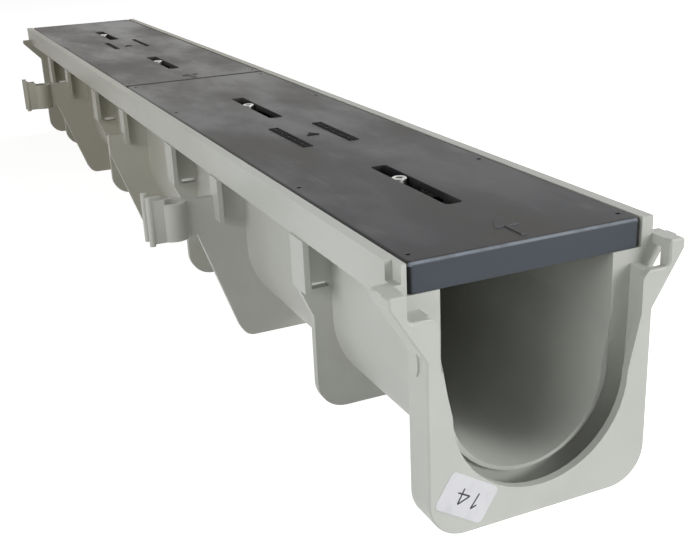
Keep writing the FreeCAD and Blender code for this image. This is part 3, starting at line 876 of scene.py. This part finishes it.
class DRAIN_OT_stage(bpy.types.Operator):
    """Sets the camera, the pale floor, the lights and the white surroundings"""
    bl_idname = "drain.stage"
    bl_label = "Stage"

    def execute(self, context):
        settings = context.scene.drain_stage
        scene = context.scene
        scene.view_settings.view_transform = "Standard"
        self.camera(scene, settings)
        self.floor(settings)
        self.lights(settings)
        self.surroundings(scene, settings)
        return {"FINISHED"}

    def camera(self, scene, settings):
        """Camera looking along the view direction: back is (sin a cos e,
        -cos a cos e, sin e), and right and up are then rolled about it."""
        azimuth = settings.camera_azimuth
        elevation = settings.camera_elevation
        back = Vector((math.sin(azimuth) * math.cos(elevation),
                       -math.cos(azimuth) * math.cos(elevation), math.sin(elevation)))
        right = (-back).cross(Vector((0.0, 0.0, 1.0))).normalized()
        up = right.cross(-back)
        c = math.cos(settings.camera_roll)
        s = math.sin(settings.camera_roll)
        rolled_right = c * right + s * up
        rolled_up = c * up - s * right
        turn = Matrix((rolled_right, rolled_up, back)).transposed().to_4x4()
        data = bpy.data.cameras.new("View")
        data.lens = settings.lens
        data.sensor_width = 36.0
        data.sensor_fit = "HORIZONTAL"
        data.clip_start = 0.01
        data.clip_end = 100.0
        obj = bpy.data.objects.new("View", data)
        obj.matrix_world = Matrix.Translation(Vector(settings.camera_place)) @ turn
        scene.collection.objects.link(obj)
        scene.camera = obj

    def floor(self, settings):
        """Level square centred under the channel."""
        half = settings.floor_size / 2.0
        points = [(-half, -half, 0.0), (half, -half, 0.0), (half, half, 0.0), (-half, half, 0.0)]
        floor = mesh_object("studio_floor", points, [(0, 1, 2, 3)])
        floor.data.materials.append(pale_floor(settings.floor_colour[:], settings.floor_glow))

    def lights(self, settings):
        """Area lights: each has its place, the point it faces, its two sides and
        its power."""
        places = (
            ("End light", (1.9, 1.1, 0.5), (0.4, 0.0, 0.08), 0.8, 0.6, settings.end_power),
            ("High light", (1.1, 1.1, 1.5), (0.3, 0.0, 0.08), 0.6, 0.6, settings.high_power),
            ("Side light", (0.62, -0.85, 0.42), (0.38, 0.0, 0.06), 0.7, 0.4, settings.side_power),
            ("Right light", (-0.2, 1.8, 0.8), (0.0, 0.0, 0.06), 2.0, 0.8, settings.right_power),
            ("Back light", (-1.0, 1.2, 1.9), (-0.3, 0.0, 0.06), 1.0, 0.8, settings.back_power),
        )
        for name, place, target, width, depth, power in places:
            data = bpy.data.lights.new(name, "AREA")
            data.shape = "RECTANGLE"
            data.size = width
            data.size_y = depth
            data.energy = power
            obj = bpy.data.objects.new(name, data)
            obj.location = place
            ahead = Vector(target) - Vector(place)
            obj.rotation_euler = ahead.to_track_quat("-Z", "Y").to_euler()
            bpy.context.scene.collection.objects.link(obj)

    def surroundings(self, scene, settings):
        """White world. Camera, glossy and transmission rays see it at full
        white, and other rays get the even light's strength."""
        world = bpy.data.worlds.new("White studio")
        scene.world = world
        world.use_nodes = True
        tree = world.node_tree
        tree.nodes.clear()
        out = tree.nodes.new("ShaderNodeOutputWorld")
        light = tree.nodes.new("ShaderNodeBackground")
        light.inputs["Color"].default_value = (1.0, 1.0, 1.0, 1.0)
        light.inputs["Strength"].default_value = settings.world_light
        white = tree.nodes.new("ShaderNodeBackground")
        white.inputs["Color"].default_value = (1.0, 1.0, 1.0, 1.0)
        white.inputs["Strength"].default_value = 1.0
        mix = tree.nodes.new("ShaderNodeMixShader")
        tree.links.new(seen_rays(tree), mix.inputs["Fac"])
        tree.links.new(light.outputs["Background"], mix.inputs[1])
        tree.links.new(white.outputs["Background"], mix.inputs[2])
        tree.links.new(mix.outputs["Shader"], out.inputs["Surface"])


class DRAIN_PT_panel(bpy.types.Panel):
    """Buttons for each group of pieces"""
    bl_label = "Channel drain"
    bl_idname = "DRAIN_PT_panel"
    bl_space_type = "VIEW_3D"
    bl_region_type = "UI"
    bl_category = "Channel drain"

    def draw(self, context):
        for operator in OPERATORS:
            self.layout.operator(operator.bl_idname)


OPERATORS = (DRAIN_OT_channel, DRAIN_OT_covers, DRAIN_OT_cover_marks, DRAIN_OT_screws,
             DRAIN_OT_lock_hardware, DRAIN_OT_label, DRAIN_OT_stage)
SETTINGS = {
    "drain_channel": ChannelSettings,
    "drain_cover": CoverSettings,
    "drain_screw": ScrewSettings,
    "drain_label": LabelSettings,
    "drain_stage": StageSettings,
}


def register():
    """Registers the settings, the operators and the panel."""
    for name, group in SETTINGS.items():
        bpy.utils.register_class(group)
        setattr(bpy.types.Scene, name, bpy.props.PointerProperty(type=group))
    for operator in OPERATORS:
        bpy.utils.register_class(operator)
    bpy.utils.register_class(DRAIN_PT_panel)


def unregister():
    bpy.utils.unregister_class(DRAIN_PT_panel)
    for operator in reversed(OPERATORS):
        bpy.utils.unregister_class(operator)
    for name, group in SETTINGS.items():
        delattr(bpy.types.Scene, name)
        bpy.utils.unregister_class(group)


def main():
    register()
    bpy.ops.drain.channel()
    bpy.ops.drain.covers()
    bpy.ops.drain.cover_marks()
    bpy.ops.drain.screws()
    bpy.ops.drain.lock_hardware()
    bpy.ops.drain.label()
    bpy.ops.drain.stage()


if __name__ == "__main__":
    main()
